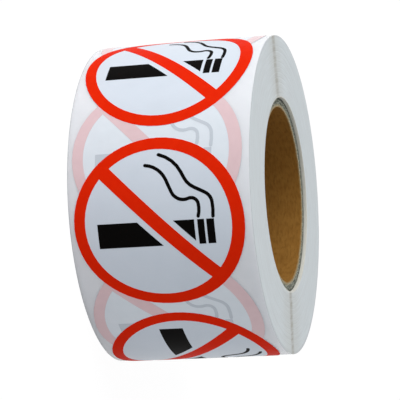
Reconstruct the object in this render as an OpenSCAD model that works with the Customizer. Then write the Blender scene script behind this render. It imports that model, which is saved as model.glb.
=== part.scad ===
// A roll of round no-smoking labels: a web of backing paper wound on a cardboard core,
// standing on its end. The web's free end and the last labels lie on the back.

/* [Roll] */
// Outside diameter of the wound roll
roll_d = 73.4; // [64:0.1:110]
// Width of the web, along the roll's axis
web_w = 40.8; // [39.5:0.1:80]
// Thickness of one turn, which is also the step at the web's free end
web_t = 0.15; // [0.1:0.01:0.3]
// Labels between the front one and the web's free end
labels_to_tail = 2; // [1:1:2]

/* [Turns] */
// Real turns between two of the grooves that show the winding on the ends
turns_per_groove = 8; // [6:1:20]
// Width of a groove where it meets the end face
groove_w = 0.3; // [0.1:0.05:0.5]
// Depth of a groove
groove_depth = 0.03; // [0.02:0.01:0.3]

/* [Core] */
// Bore of the cardboard core
bore_d = 40.5; // [25:0.1:52]
// Wall of the cardboard core
core_wall = 2.2; // [1.5:0.1:5]
// How far the core stops short of the web's upper end
core_recess = 0.8; // [0:0.1:4]

/* [Labels] */
// Diameter of one round label
label_d = 38.1; // [25:0.1:39.5]
// Gap between neighbouring labels, along the web
label_gap = 2.7; // [1.5:0.1:10]
// How far the labels sit off the middle of the web, towards its upper end
label_shift = -0.25; // [-0.5:0.05:0.5]
// How far the print sits off the middle of each label, the same way
print_shift = -0.2; // [-0.5:0.05:0.5]
// Thickness of a label on the web
label_t = 0.1; // [0.06:0.01:0.2]
// Thickness of the printed ink
ink_t = 0.03; // [0.02:0.01:0.05]

/* [Sign] */
// Diameter of the sign for which the sizes below are given
sign_d = 38.1; // [30:0.1:50]
// Width of the red ring
ring_w = 2.65; // [1.5:0.05:4]
// Width of the red bar across the sign
bar_w = 3.1; // [2:0.05:5]
// White gap between the bar and the cigarette
bar_gap = 1.3; // [0.5:0.1:3]
// Height of the cigarette
cigarette_h = 5.4; // [3:0.1:6]
// How far the cigarette's middle line lies below the sign's centre
cigarette_drop = 2.1; // [0:0.1:4]
// How far the cigarette's mouth end stops short of the ring's widest place
mouth_inset = 2.8; // [2:0.1:5]
// How far its lit end stops short of the ring's widest place, on the other side
tip_inset = 3.9; // [3:0.1:5]
// Width of the first black band at the lit end
near_band_w = 1.5; // [1:0.1:2]
// Width of the second black band, at the tip
far_band_w = 1.7; // [1:0.1:2]
// White gap before the first band
ash_gap = 0.7; // [0.3:0.1:1]
// White gap between the two bands
band_gap = 0.5; // [0.3:0.1:0.7]
// Width of a line of smoke
smoke_w = 0.75; // [0.4:0.05:1]
// White gap between the first band and the near line of smoke
near_smoke_gap = 0.28; // [0.1:0.02:1]
// White gap between the second band and the far line of smoke
far_smoke_gap = 0.12; // [0.1:0.02:1]
// How far in from the first band's inner side the near line of smoke sets off
near_smoke_in = 0.3; // [0:0.05:1]
// How far in from the lit end the far line of smoke sets off
far_smoke_in = 0.15; // [0:0.05:1]
// How far the top of the smoke stays below the ring's highest place
smoke_inset = 0.95; // [0.6:0.05:4]

/* [Hidden] */
// Fineness of curves: sides of the core and turns, of a round outline, and of a bend
round_sides = 120;
outline_sides = 60;
bend_step = 12;
cap_sides = 5;
// Longest straight edge that is wrapped in one piece
edge_step = 4;
// How far a cut runs past the face that it opens
cut_over = 1;

turn_r = roll_d / 2;
core_r = bore_d / 2 + core_wall;
label_r = label_d / 2;
label_z = web_w / 2 + label_shift;
pitch = label_d + label_gap;

// Angles run about +Z from -Y, where the front label is, and the web comes outwards with them.
pitch_angle = pitch / turn_r * 180 / PI;
tail_angle = (labels_to_tail + 0.5) * pitch_angle;

// Labels in sight on the outer turn, counted back from the free end. The last dips under it.
labels_in_sight = floor((2 * PI * turn_r + label_r) / pitch + 0.5);
// The label next to the front one, towards the free end, has its sign a quarter turn clockwise.
turned_step = 1;

groove_pitch = turns_per_groove * web_t;
grooves = floor((turn_r - core_r) / groove_pitch - 1.5);

// The drawing is scaled to the label that it is printed on.
sign_scale = label_d / sign_d;
bar_angle = -45;
window_r = sign_d / 2 - ring_w;
cigarette_top = cigarette_h / 2 - cigarette_drop;
cigarette_bottom = cigarette_top - cigarette_h;
mouth_end = mouth_inset - window_r;
lit_end = window_r - tip_inset;
far_band = [lit_end - far_band_w, lit_end];
near_band = [far_band[0] - band_gap - near_band_w, far_band[0] - band_gap];
body_end = near_band[0] - ash_gap;

// A line of smoke sets off at a heading and goes through bends of [radius, turn to the left].
// A bend with no turn is a straight of that length. Radii are shares of smoke_r.
near_smoke_heading = 72;
near_smoke_bends = [[2, 27], [0.55, 102], [1, -88], [1, 0], [1.97, 61]];
far_smoke_heading = 82;
far_smoke_bends = [[4.07, 15], [0.97, 56], [0.93, 0], [1.62, -36], [0.52, 0], [2.83, 47]];
near_smoke_start = [near_band[0] + near_smoke_in, cigarette_top + near_smoke_gap + smoke_w / 2];
far_smoke_start = [lit_end - far_smoke_in, cigarette_top + far_smoke_gap + smoke_w / 2];
smoke_top = window_r - smoke_inset - smoke_w / 2;
smoke_r = (smoke_top - far_smoke_start.y) / rise(far_smoke_heading, far_smoke_bends);

// Point of a label wrapped on the roll, seen from the front: y shortens as the surface turns away
function wrapped(p) = [-turn_r * sin(p.y / turn_r * 180 / PI), label_z + p.x];

// Outline with its long edges cut up, so that they stay straight on the label when wrapped
function fine(points) = [
    for (i = [0 : len(points) - 1])
        let (a = points[i], b = points[(i + 1) % len(points)], n = ceil(norm(b - a) / edge_step))
            for (k = [0 : n - 1]) a + (b - a) * k / n
];

function polar(r, angle) = r * [cos(angle), sin(angle)];

function round_outline(r) = [for (i = [0 : outline_sides - 1]) polar(r, 360 * i / outline_sides)];

function box_outline(x, y) = [[x[0], y[0]], [x[1], y[0]], [x[1], y[1]], [x[0], y[1]]];

// White field inside the ring, on one side of the bar: 0 is above it and 1 below
function window_outline(side) =
    let (edge = asin(bar_w / 2 / window_r), start = bar_angle + 180 * side + edge, n = outline_sides / 2)
        [for (i = [0 : n]) polar(window_r, start + (180 - 2 * edge) * i / n)];

function spun(p, angle) = [p.x * cos(angle) - p.y * sin(angle), p.x * sin(angle) + p.y * cos(angle)];

// Strip along the bar that the cigarette keeps clear of
function clear_strip() =
    let (half = bar_w / 2 + bar_gap)
        [for (p = box_outline([-window_r, window_r], [-half, half])) spun(p, bar_angle)];

// Place and heading after a share of one bend
function along(at, bend, share) = bend[1] == 0
    ? [at.x + share * bend[0] * cos(at.z), at.y + share * bend[0] * sin(at.z), at.z]
    : let (r = bend[0] * sign(bend[1]), h = at.z + share * bend[1])
        [at.x + r * (sin(h) - sin(at.z)), at.y - r * (cos(h) - cos(at.z)), h];

function steps(bend) = max(1, ceil(abs(bend[1]) / bend_step));

// Places and headings all along a line of smoke, from the bend with this number on
function smoke_path(at, bends, i = 0) = i == len(bends)
    ? [at]
    : let (n = steps(bends[i]))
        concat(
            [for (k = [0 : n - 1]) along(at, bends[i], k / n)],
            smoke_path(along(at, bends[i], 1), bends, i + 1)
        );

// How far a line of smoke goes up from its start, as a share of smoke_r
function rise(heading, bends) =
    let (path = smoke_path([0, 0, heading], bends))
        path[len(path) - 1].y;

// The same places with the line at its start and its real size
function placed_smoke(start, heading, bends) = [
    for (p = smoke_path([0, 0, heading], bends))
        [start.x + smoke_r * p.x, start.y + smoke_r * p.y, p.z]
];

function beside(at, angle) = [at.x, at.y] + polar(smoke_w / 2, at.z + angle);

// Outline of a line of smoke with round ends
function smoke_outline(path) =
    let (n = len(path) - 1)
        concat(
            [for (i = [0 : n]) beside(path[i], 90)],
            [for (k = [1 : cap_sides - 1]) beside(path[n], 90 - 180 * k / cap_sides)],
            [for (i = [n : -1 : 0]) beside(path[i], -90)],
            [for (k = [1 : cap_sides - 1]) beside(path[0], -90 - 180 * k / cap_sides)]
        );

// Steps from the front label to the label with this number, positive towards the free end
function label_step(i) = i - labels_in_sight + labels_to_tail;

function spin_of(i) = label_step(i) == turned_step ? -90 : 0;

// A half ring for each half of a turn: their centres lie apart, so that the turn gains one step
module half_rings(r, step, halves = [0, 1])
    rotate([0, 0, tail_angle - 90])
        for (half = halves)
            translate([(half - 0.5) * step / 2, 0, 0])
                rotate([0, 0, 180 * half])
                    rotate_extrude(angle = 180, $fn = round_sides)
                        translate([r + (half - 0.5) * step / 2, 0])
                            children();

// Thin skin over the outer turn. Under the last label only the first half is free.
module turn_skin(height, thickness, i)
    half_rings(turn_r + height, web_t, i == 1 ? [0] : [0, 1])
        square([thickness, web_w]);

// Cuts a flat outline, already wrapped, out of a skin at the label with this number
module on_turn(height, thickness, i)
    intersection() {
        rotate([0, 0, label_step(i) * pitch_angle])
            translate([0, -turn_r / 2, 0])
                rotate([90, 0, 0])
                    linear_extrude(turn_r)
                        children();
        turn_skin(height, thickness, i);
    }

// Flat field of the drawing, whose points have x along the roll's axis and y up, scaled, turned and wrapped
module field(outline, spin, shift = print_shift)
    polygon([
        for (p = fine([for (q = outline) sign_scale * spun(q, spin)]))
            wrapped([p.x + shift, p.y])
    ]);

// The ring is printed past the label's edge and cut there, so only its inner side shows the shift
module red_fields(spin)
    difference() {
        field(round_outline(sign_d / 2), spin, 0);
        for (side = [0, 1])
            field(window_outline(side), spin);
    }

module black_fields(spin) {
    difference() {
        for (x = [[mouth_end, body_end], near_band, far_band])
            field(box_outline(x, [cigarette_bottom, cigarette_top]), spin);
        field(clear_strip(), spin);
    }
    smoke(near_smoke_start, near_smoke_heading, near_smoke_bends, spin);
    smoke(far_smoke_start, far_smoke_heading, far_smoke_bends, spin);
}

module smoke(start, heading, bends, spin)
    field(smoke_outline(placed_smoke(start, heading, bends)), spin);

// Cardboard tube that the web is wound on
module core()
    color("#7a5c34")
        difference() {
            cylinder(r = core_r, h = web_w - core_recess, $fn = round_sides);
            translate([0, 0, -cut_over])
                cylinder(d = bore_d, h = web_w + 2 * cut_over, $fn = round_sides);
        }

// Spiral of V grooves that shows the winding on an end: up is 1 at the upper end and -1 below
module winding(up) {
    depth = up * groove_depth;
    for (i = [1 : grooves])
        half_rings(core_r + i * groove_pitch, groove_pitch)
            polygon([[-groove_w, depth], [groove_w, depth], [0, -depth]]);
}

// The whole wound web: its outside gains one thickness in the outer turn and ends in a step.
// Its half rings start inside the core's place, and the core's outside is then cut out of both.
module wound_web()
    color("#dfe3ea")
        difference() {
            half_rings(bore_d / 2, web_t)
                square([turn_r - bore_d / 2, web_w]);
            translate([0, 0, -cut_over])
                cylinder(r = core_r, h = web_w + 2 * cut_over, $fn = round_sides);
            translate([0, 0, web_w])
                winding(1);
            winding(-1);
        }

module label(i)
    color("#f4f6fa")
        on_turn(0, label_t, i)
            field(round_outline(sign_d / 2), 0, 0);

module red_print(i)
    color("#c8150a")
        on_turn(label_t, ink_t, i)
            red_fields(spin_of(i));

module black_print(i)
    color("#0c0c0e")
        on_turn(label_t, ink_t, i)
            black_fields(spin_of(i));

core();
wound_web();
for (i = [1 : labels_in_sight]) {
    label(i);
    red_print(i);
    black_print(i);
}
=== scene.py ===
import math

import bpy
from mathutils import Matrix, Vector


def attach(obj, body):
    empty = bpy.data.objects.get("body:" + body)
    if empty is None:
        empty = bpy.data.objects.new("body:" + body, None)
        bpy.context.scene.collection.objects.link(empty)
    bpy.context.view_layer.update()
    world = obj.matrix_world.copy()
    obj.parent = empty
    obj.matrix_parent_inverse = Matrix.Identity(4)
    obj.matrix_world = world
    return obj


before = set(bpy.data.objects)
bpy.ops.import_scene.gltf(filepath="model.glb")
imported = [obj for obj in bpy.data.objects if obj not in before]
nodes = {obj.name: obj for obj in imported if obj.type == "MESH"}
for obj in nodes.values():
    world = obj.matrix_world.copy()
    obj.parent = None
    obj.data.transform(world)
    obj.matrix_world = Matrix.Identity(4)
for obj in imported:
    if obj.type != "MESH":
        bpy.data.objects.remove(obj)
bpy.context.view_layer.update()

MM = 0.001

# Sizes repeated from the part's source, in millimetres and degrees
TURN_R = 36.7
WEB_T = 0.15
WEB_W = 40.8
BORE_R = 20.25
CORE_R = 22.45
CORE_TOP = 40.0
LABEL_T = 0.1
INK_T = 0.03
PITCH_ANGLE = math.degrees(40.8 / TURN_R)
TAIL_ANGLE = 2.5 * PITCH_ANGLE
FRONT_LABEL = 4
# Angle about +Z from -Y of the second radial line of painted shade on the roll's ends
SHADE_LINE_ANGLE = 77


# ---- Small helpers ----


def colour(code):
    """Linear colour of an sRGB hex code."""
    parts = [int(code[i:i + 2], 16) / 255 for i in (1, 3, 5)]
    return tuple(p / 12.92 if p <= 0.04045 else ((p + 0.055) / 1.055) ** 2.4 for p in parts) + (1.0,)


def add(tree, kind, inputs=None, **settings):
    """Adds a node with its settings, and sets or links its inputs."""
    node = tree.nodes.new(kind)
    for name, value in settings.items():
        setattr(node, name, value)
    for name, value in (inputs or {}).items():
        if isinstance(value, bpy.types.NodeSocket):
            tree.links.new(value, node.inputs[name])
        else:
            node.inputs[name].default_value = value
    return node


def new_material(name):
    """An empty material with its output, ready for a shader."""
    material = bpy.data.materials.new(name)
    material.use_nodes = True
    tree = material.node_tree
    tree.nodes.clear()
    return material, tree


def math_of(tree, operation, a, b=0.0, clamp=False):
    return add(tree, "ShaderNodeMath", {0: a, 1: b}, operation=operation, use_clamp=clamp).outputs[0]


def ramp(tree, value, low, high, start=0.0, end=1.0):
    """Smooth step of a value between two limits."""
    inputs = {"Value": value, "From Min": low, "From Max": high, "To Min": start, "To Max": end}
    return add(tree, "ShaderNodeMapRange", inputs, interpolation_type="SMOOTHSTEP").outputs[0]


def mixed(tree, share, a, b, blend="MIX"):
    inputs = {0: share, 6: a, 7: b}
    return add(tree, "ShaderNodeMix", inputs, data_type="RGBA", blend_type=blend).outputs[2]


def noise(tree, place, size_mm, detail=2.0, stretch=(1, 1, 1)):
    """Noise whose features have a size in millimetres, stretched along the axes."""
    scale = [1 / (size_mm * MM * s) for s in stretch]
    spread = add(tree, "ShaderNodeMapping", {"Vector": place, "Scale": scale}).outputs[0]
    return add(tree, "ShaderNodeTexNoise", {"Vector": spread, "Scale": 1.0, "Detail": detail}).outputs["Fac"]


def bumped(tree, height, depth_mm):
    return add(tree, "ShaderNodeBump", {"Height": height, "Distance": depth_mm * MM, "Strength": 1.0}).outputs[0]


def place_of(tree):
    return add(tree, "ShaderNodeTexCoord").outputs["Object"]


def finish_surface(tree, base, **inputs):
    """The surface shader and the output."""
    named = {name.replace("_", " "): value for name, value in inputs.items()}
    shader = add(tree, "ShaderNodeBsdfPrincipled", {"Base Color": base, **named})
    add(tree, "ShaderNodeOutputMaterial", {"Surface": shader.outputs[0]})


# ---- Materials ----


def coated_label_paper():
    """Coated label paper, calendered: white with a cool cast, faintly cloudy, half gloss with a fine grain."""
    material, tree = new_material("coated_label_paper")
    place = place_of(tree)
    cloud = noise(tree, place, 6.0, 3.0)
    base = mixed(tree, cloud, colour("#d2dbe5"), colour("#dae2ec"))
    grain = noise(tree, place, 0.5, 2.0)
    finish_surface(tree, base, Roughness=0.38, IOR=1.45, Specular_IOR_Level=0.25, Normal=bumped(tree, grain, 0.004))
    return material


def printed_ink(name, dark, light, roughness, specular):
    """Offset ink on coated paper: one even colour, a little mottled, with the paper's fine grain under it."""
    material, tree = new_material(name)
    place = place_of(tree)
    mottle = noise(tree, place, 1.6, 3.0)
    base = mixed(tree, mottle, colour(dark), colour(light))
    grain = noise(tree, place, 0.5, 2.0)
    finish_surface(
        tree, base, Roughness=roughness, IOR=1.45, Specular_IOR_Level=specular, Normal=bumped(tree, grain, 0.004)
    )
    return material


def radial_line(tree, axes, angle, half_width_mm):
    """1 along a line from the roll's axis outwards at an angle about +Z from -Y, and 0 beside it."""
    turned = math.radians(angle)
    x, y = axes[0], axes[1]
    across = math_of(
        tree, "ADD", math_of(tree, "MULTIPLY", x, math.cos(turned)), math_of(tree, "MULTIPLY", y, math.sin(turned))
    )
    out = math_of(
        tree, "SUBTRACT", math_of(tree, "MULTIPLY", x, math.sin(turned)), math_of(tree, "MULTIPLY", y, math.cos(turned))
    )
    near = ramp(tree, math_of(tree, "ABSOLUTE", across), 0.1 * half_width_mm * MM, half_width_mm * MM, 1.0, 0.0)
    return math_of(tree, "MULTIPLY", near, math_of(tree, "GREATER_THAN", out, 0.0))


def wound_backing_paper():
    """Glassine backing paper, wound. Its outside is smooth and cool white, faintly cloudy.
    The ends are a hundred cut paper edges: matt, pale grey, with rings where the winding changed.
    Light spreads a few millimetres through the paper, which softens the roll's edges."""
    material, tree = new_material("wound_backing_paper")
    place = place_of(tree)
    axes = add(tree, "ShaderNodeSeparateXYZ", {0: place}).outputs
    flat = add(tree, "ShaderNodeVectorMath", {0: place, 1: (1, 1, 0)}, operation="MULTIPLY").outputs[0]
    radius = add(tree, "ShaderNodeVectorMath", {0: flat}, operation="LENGTH").outputs["Value"]

    cloud = noise(tree, place, 3.0, 3.0)
    sheet = mixed(tree, cloud, colour("#e3e6ea"), colour("#ebedf1"))

    # Rings on the ends: single turns are too fine to show, so they are drawn four turns wide
    turns = add(
        tree, "ShaderNodeTexNoise", {"W": radius, "Scale": 1 / (0.6 * MM), "Detail": 3.0}, noise_dimensions="1D"
    ).outputs["Fac"]
    # Streaks along the turns: about 6 mm long and half a millimetre across
    outwards = add(tree, "ShaderNodeVectorMath", {0: flat}, operation="NORMALIZE").outputs[0]
    around = add(tree, "ShaderNodeVectorMath", {0: outwards, 1: (5, 5, 5)}, operation="MULTIPLY").outputs[0]
    across = add(tree, "ShaderNodeCombineXYZ", {2: math_of(tree, "MULTIPLY", radius, 1 / (0.5 * MM))}).outputs[0]
    polar = add(tree, "ShaderNodeVectorMath", {0: around, 1: across}, operation="ADD").outputs[0]
    fibre = add(tree, "ShaderNodeTexNoise", {"Vector": polar, "Scale": 1.0, "Detail": 2.0}).outputs["Fac"]
    edges = mixed(tree, turns, colour("#d4dbdd"), colour("#e3eaec"))
    edges = mixed(tree, ramp(tree, fibre, 0.35, 0.65, 0.0, 0.5), edges, colour("#d4d9da"))
    rim = ramp(tree, radius, (TURN_R - 0.9) * MM, TURN_R * MM)
    edges = mixed(tree, math_of(tree, "MULTIPLY", rim, 0.45), edges, colour("#b6babf"))
    # Two radial lines of painted shade on the ends, where the gaps between labels come to lie over each other: a wide
    # faint band and a narrow dashed line
    dashes = ramp(tree, noise(tree, place, 1.0, 2.0, (1, 8, 1)), 0.3, 0.7, 0.35, 0.9)
    shade_band = math_of(tree, "MAXIMUM", radial_line(tree, axes, -90, 9), radial_line(tree, axes, SHADE_LINE_ANGLE, 13))
    edges = mixed(tree, math_of(tree, "MULTIPLY", shade_band, 0.35), edges, colour("#c4c3ba"))
    shade_lines = math_of(tree, "MAXIMUM", radial_line(tree, axes, -90, 2.5), radial_line(tree, axes, SHADE_LINE_ANGLE, 2.3))
    edges = mixed(tree, math_of(tree, "MULTIPLY", shade_lines, dashes), edges, colour("#aca99f"))

    middle = math_of(tree, "ABSOLUTE", math_of(tree, "SUBTRACT", axes[2], WEB_W / 2 * MM))
    at_end = ramp(tree, middle, (WEB_W / 2 - 0.12) * MM, (WEB_W / 2 - 0.09) * MM)
    # Painted highlight: the inner side of the web, which shows above the core, and the innermost few tenths of a
    # millimetre of the end are cream, like the hole's rim catching light
    hole_rim_highlight = ramp(tree, radius, (CORE_R + 0.1) * MM, (CORE_R + 0.3) * MM, 1.0, 0.0)
    edges = mixed(tree, hole_rim_highlight, edges, colour("#dddcd2"))
    outside = ramp(tree, radius, (TURN_R - 0.8) * MM, (TURN_R - 0.6) * MM)
    at_end = math_of(tree, "MAXIMUM", at_end, math_of(tree, "SUBTRACT", 1.0, outside))
    base = mixed(tree, at_end, sheet, edges)
    roughness = ramp(tree, at_end, 0, 1, 0.25, 0.8)
    height = mixed(tree, at_end, cloud, turns)
    finish_surface(
        tree, base, Roughness=roughness, IOR=1.48, Specular_IOR_Level=0.35, Normal=bumped(tree, height, 0.006),
        Subsurface_Weight=0.5, Subsurface_Radius=(1, 1, 1), Subsurface_Scale=1.8 * MM,
    )
    return material


def chipboard_tube():
    """Spiral-wound chipboard: dark grey-green speckled on its cut ends, brown kraft inside, tan at the cut rim,
    lightened as a painted highlight, and a painted shade line where its end meets the web.
    """
    material, tree = new_material("chipboard_tube")
    place = place_of(tree)
    z = add(tree, "ShaderNodeSeparateXYZ", {0: place}).outputs[2]
    flat = add(tree, "ShaderNodeVectorMath", {0: place, 1: (1, 1, 0)}, operation="MULTIPLY").outputs[0]
    radius = add(tree, "ShaderNodeVectorMath", {0: flat}, operation="LENGTH").outputs["Value"]

    speck = noise(tree, place, 0.45, 3.0)
    cloud = noise(tree, place, 2.5, 3.0)
    board = mixed(tree, ramp(tree, speck, 0.42, 0.62), colour("#3c413b"), colour("#b4b6a6"))
    kraft = mixed(tree, cloud, colour("#8e6124"), colour("#a87a37"))
    fibre = noise(tree, place, 0.5, 3.0, (2.5, 2.5, 1))
    kraft = mixed(tree, math_of(tree, "MULTIPLY", ramp(tree, fibre, 0.4, 0.75), 0.45), kraft, colour("#6f4b14"))
    inside = ramp(tree, radius, (BORE_R + 0.1) * MM, (BORE_R + 0.25) * MM, 1.0, 0.0)
    base = mixed(tree, inside, board, kraft)
    # The cut rim at the bore is tan: the kraft ply's cut edge, made lighter as a painted highlight where the bore's
    # edge catches light, and mottled by the speckle
    middle = math_of(tree, "ABSOLUTE", math_of(tree, "SUBTRACT", z, CORE_TOP / 2 * MM))
    near_end = ramp(tree, middle, (CORE_TOP / 2 - 0.35) * MM, (CORE_TOP / 2 - 0.1) * MM)
    near_bore = ramp(tree, radius, (BORE_R + 0.45) * MM, (BORE_R + 0.8) * MM, 1.0, 0.0)
    rim = math_of(tree, "MULTIPLY", near_end, near_bore)
    bore_rim_mottle = ramp(tree, speck, 0.35, 0.6, 0.9, 0.25)
    base = mixed(tree, math_of(tree, "MULTIPLY", rim, bore_rim_mottle), base, colour("#b5a27a"))
    # Painted shade: the outer edge of the core's end, in the corner where the recessed end meets the web, is the
    # darkest place
    corner_shade = ramp(tree, radius, (CORE_R - 0.75) * MM, (CORE_R - 0.15) * MM)
    base = mixed(tree, math_of(tree, "MULTIPLY", corner_shade, 0.55), base, colour("#35372f"))
    height = mixed(tree, inside, speck, fibre)
    finish_surface(
        tree, base, Roughness=0.85, IOR=1.45, Specular_IOR_Level=0.2, Normal=bumped(tree, height, 0.05)
    )
    return material


def show_through(name, dark, light):
    """A label of the turn below as the backing paper lets it through: pale, with the backing's own smooth face."""
    material, tree = new_material(name)
    place = place_of(tree)
    cloud = noise(tree, place, 2.2, 3.0)
    base = mixed(tree, cloud, colour(dark), colour(light))
    finish_surface(
        tree, base, Roughness=0.25, IOR=1.48, Specular_IOR_Level=0.35, Normal=bumped(tree, cloud, 0.006)
    )
    return material


# ---- Labels of the turn below ----

# The web's turn below carries labels too, each this far before a label of the outer turn
BELOW_ANGLE = 24.0
# Their angles about +Z from -Y. The first starts under the free end, so only what lies after the end shows.
BELOW = [PITCH_ANGLE * (number - FRONT_LABEL) - BELOW_ANGLE for number in range(1, 7)]
AFTER_END = BELOW[0]
# The first label of the outer turn goes on under the free end, where its other part shows through
BEFORE_END = PITCH_ANGLE * (1 - FRONT_LABEL)


def web_radius(angle):
    """Outside radius of the web, in millimetres, at an angle about +Z from -Y. It steps at the free end."""
    turned = math.radians((angle - TAIL_ANGLE) % 360)
    gain = WEB_T / 4 * (1 + math.cos(turned))
    return TURN_R - gain if turned < math.pi else TURN_R + gain


def merged_copy(node, name):
    """A copy of a CAD node's mesh as a piece of its own, with its loose triangles joined. The CAD's own
    normals are cleared, because they stay as they were when the copy is turned and pressed flat."""
    piece = bpy.data.objects.new(name, nodes[node].data.copy())
    bpy.context.collection.objects.link(piece)
    bpy.ops.object.select_all(action="DESELECT")
    bpy.context.view_layer.objects.active = piece
    piece.select_set(True)
    bpy.ops.object.mode_set(mode="EDIT")
    bpy.ops.mesh.select_all(action="SELECT")
    bpy.ops.mesh.remove_doubles(threshold=0.001 * MM)
    bpy.ops.mesh.customdata_custom_splitnormals_clear()
    bpy.ops.object.mode_set(mode="OBJECT")
    return piece


def lay_below(piece, heights, laid, centre):
    """Turns a copy of the front label's skin to its place in the turn below, and presses it flat onto the
    web's outside: what was between two heights above the web comes between two much smaller ones."""
    for vertex in piece.data.vertices:
        co = vertex.co
        radius = math.hypot(co.x, co.y) / MM
        angle = math.degrees(math.atan2(co.x, -co.y))
        share = (radius - web_radius(angle) - heights[0]) / (heights[1] - heights[0])
        angle += centre
        r = (web_radius(angle) + laid[0] + share * (laid[1] - laid[0])) * MM
        turned = math.radians(angle)
        vertex.co = (r * math.sin(turned), -r * math.cos(turned), co.z)


def cut_along(piece, angle, keep_after):
    """Cuts the piece along the roll's axis at an angle, and keeps the part after it or the part before."""
    turned = math.radians(angle)
    bpy.ops.object.select_all(action="DESELECT")
    bpy.context.view_layer.objects.active = piece
    piece.select_set(True)
    bpy.ops.object.mode_set(mode="EDIT")
    bpy.ops.mesh.select_all(action="SELECT")
    bpy.ops.mesh.bisect(
        plane_co=(0, 0, 0), plane_no=(math.cos(turned), math.sin(turned), 0),
        use_fill=True, clear_inner=keep_after, clear_outer=not keep_after,
    )
    bpy.ops.object.mode_set(mode="OBJECT")


def labels_below(kind, name, heights, laid, material):
    """All the labels of the turn below, or one colour of their print, as one piece."""
    copies = []
    for number, centre in enumerate(BELOW + [BEFORE_END]):
        copy = merged_copy(f"{kind}_{FRONT_LABEL}", f"{name}_{number}")
        if centre in (AFTER_END, BEFORE_END):
            cut_along(copy, TAIL_ANGLE - 360 - centre, keep_after=centre == AFTER_END)
        lay_below(copy, heights, laid, centre)
        copies.append(copy)
    bpy.ops.object.select_all(action="DESELECT")
    for copy in copies:
        copy.select_set(True)
    bpy.context.view_layer.objects.active = copies[0]
    bpy.ops.object.join()
    joined = bpy.context.view_layer.objects.active
    joined.name = name
    joined.data.name = name
    bpy.ops.object.shade_smooth_by_angle(angle=math.radians(30))
    joined.data.materials.clear()
    joined.data.materials.append(material)
    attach(joined, "root")
    return joined


# ---- The CAD nodes' finishes ----

label_paper = coated_label_paper()
red_ink = printed_ink("red_offset_ink", "#e22103", "#ea2c08", 0.45, 0.015)
black_ink = printed_ink("black_offset_ink", "#080706", "#0d0b0b", 0.45, 0.015)
FINISH = {
    "core": chipboard_tube(),
    "wound_web": wound_backing_paper(),
    "label": label_paper,
    "red_print": red_ink,
    "black_print": black_ink,
}
for name, node in nodes.items():
    finish = FINISH[name if name in FINISH else name.rsplit("_", 1)[0]]
    node.data.materials.clear()
    node.data.materials.append(finish)

labels_below(
    "label", "labels_below", (0, LABEL_T), (0.03, 0.05),
    show_through("label_through_backing", "#dde5ec", "#e5ecf3"),
)
labels_below(
    "red_print", "red_prints_below", (LABEL_T, LABEL_T + INK_T), (0.06, 0.08),
    show_through("red_through_backing", "#dfc0c4", "#e8cbce"),
)
labels_below(
    "black_print", "black_prints_below", (LABEL_T, LABEL_T + INK_T), (0.06, 0.08),
    show_through("black_through_backing", "#c0c8d1", "#ccd3db"),
)


# ---- Floor, world, lamps and camera ----

FLOOR_GLOW = 0.88
WHITE = 1.07


def seen_directly(tree):
    """1 where a ray comes straight from the camera, or by a mirror or glass."""
    path = add(tree, "ShaderNodeLightPath").outputs
    seen = math_of(tree, "MAXIMUM", path["Is Camera Ray"], path["Is Glossy Ray"])
    return math_of(tree, "MAXIMUM", seen, path["Is Transmission Ray"])


def make_floor():
    """White paper sweep, a hair under the roll so that no faces coincide. Most of what the camera sees of
    it is plain white, and the rest keeps the shadow."""
    bpy.ops.mesh.primitive_plane_add(size=6.0, location=(0, 0, -0.05 * MM))
    floor = bpy.context.active_object
    floor.name = "floor"
    material, tree = new_material("white_sweep")
    paper = add(tree, "ShaderNodeBsdfDiffuse", {"Color": colour("#eeeeee")}).outputs[0]
    white = add(tree, "ShaderNodeEmission", {"Strength": WHITE}).outputs[0]
    share = math_of(tree, "MULTIPLY", seen_directly(tree), FLOOR_GLOW)
    surface = add(tree, "ShaderNodeMixShader", {0: share, 1: paper, 2: white}).outputs[0]
    add(tree, "ShaderNodeOutputMaterial", {"Surface": surface})
    floor.data.materials.append(material)


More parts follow.
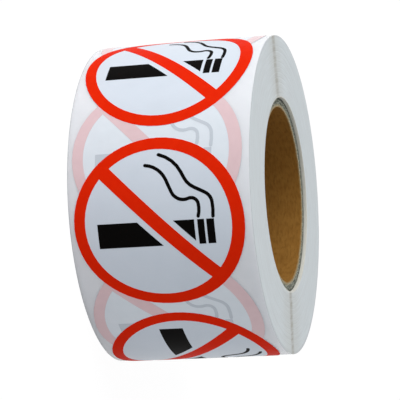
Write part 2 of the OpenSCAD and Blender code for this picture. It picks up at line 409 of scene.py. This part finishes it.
def make_world(level):
    """Even studio fill. The camera sees it as white."""
    world = bpy.data.worlds.new("studio")
    world.use_nodes = True
    tree = world.node_tree
    tree.nodes.clear()
    fill = add(tree, "ShaderNodeBackground", {"Color": colour("#fafcff"), "Strength": level}).outputs[0]
    white = add(tree, "ShaderNodeBackground", {"Strength": 1.0}).outputs[0]
    surface = add(tree, "ShaderNodeMixShader", {0: seen_directly(tree), 1: fill, 2: white}).outputs[0]
    add(tree, "ShaderNodeOutputWorld", {"Surface": surface})
    bpy.context.scene.world = world


def make_lamp(name, place, aim, size, power, tint="#ffffff"):
    """A soft rectangular lamp in millimetres, facing its aim. The camera doesn't see it."""
    light = bpy.data.lights.new(name, "AREA")
    light.shape = "RECTANGLE"
    light.size, light.size_y = size[0] * MM, size[1] * MM
    light.energy = power
    light.color = colour(tint)[:3]
    lamp = bpy.data.objects.new(name, light)
    lamp.location = Vector(place) * MM
    lamp.rotation_euler = (Vector(aim) - Vector(place)).to_track_quat("-Z", "Y").to_euler()
    lamp.visible_camera = False
    bpy.context.collection.objects.link(lamp)


def make_camera(target, azimuth, elevation, roll, distance, lens):
    """A camera round its target, in millimetres. Azimuth is from -Y towards +X; roll turns its upper side to -X."""
    a, e, t = (math.radians(v) for v in (azimuth, elevation, roll))
    back = Vector((math.sin(a) * math.cos(e), -math.cos(a) * math.cos(e), math.sin(e)))
    level = Vector((0, 0, 1)).cross(back).normalized()
    upright = back.cross(level)
    right = math.cos(t) * level + math.sin(t) * upright
    up = back.cross(right)
    data = bpy.data.cameras.new("camera")
    data.lens = lens
    data.sensor_width = 36
    data.clip_start, data.clip_end = 0.02, 20
    camera = bpy.data.objects.new("camera", data)
    camera.matrix_world = Matrix.Translation((Vector(target) + distance * back) * MM) @ Matrix(
        (right, up, back)
    ).transposed().to_4x4()
    bpy.context.collection.objects.link(camera)
    bpy.context.scene.camera = camera


make_floor()
make_world(0.52)
make_lamp("upper", (-900, -150, 150), (0, 0, 20), (500, 500), 2.9)
make_lamp("key", (-700, -250, 600), (0, 0, 20), (500, 500), 3.1)
make_camera((0.099, -0.046, 20.129), -7.407, 14.598, 86.555, 452.996, 174.991)

scene = bpy.context.scene
scene.view_settings.view_transform = "Standard"
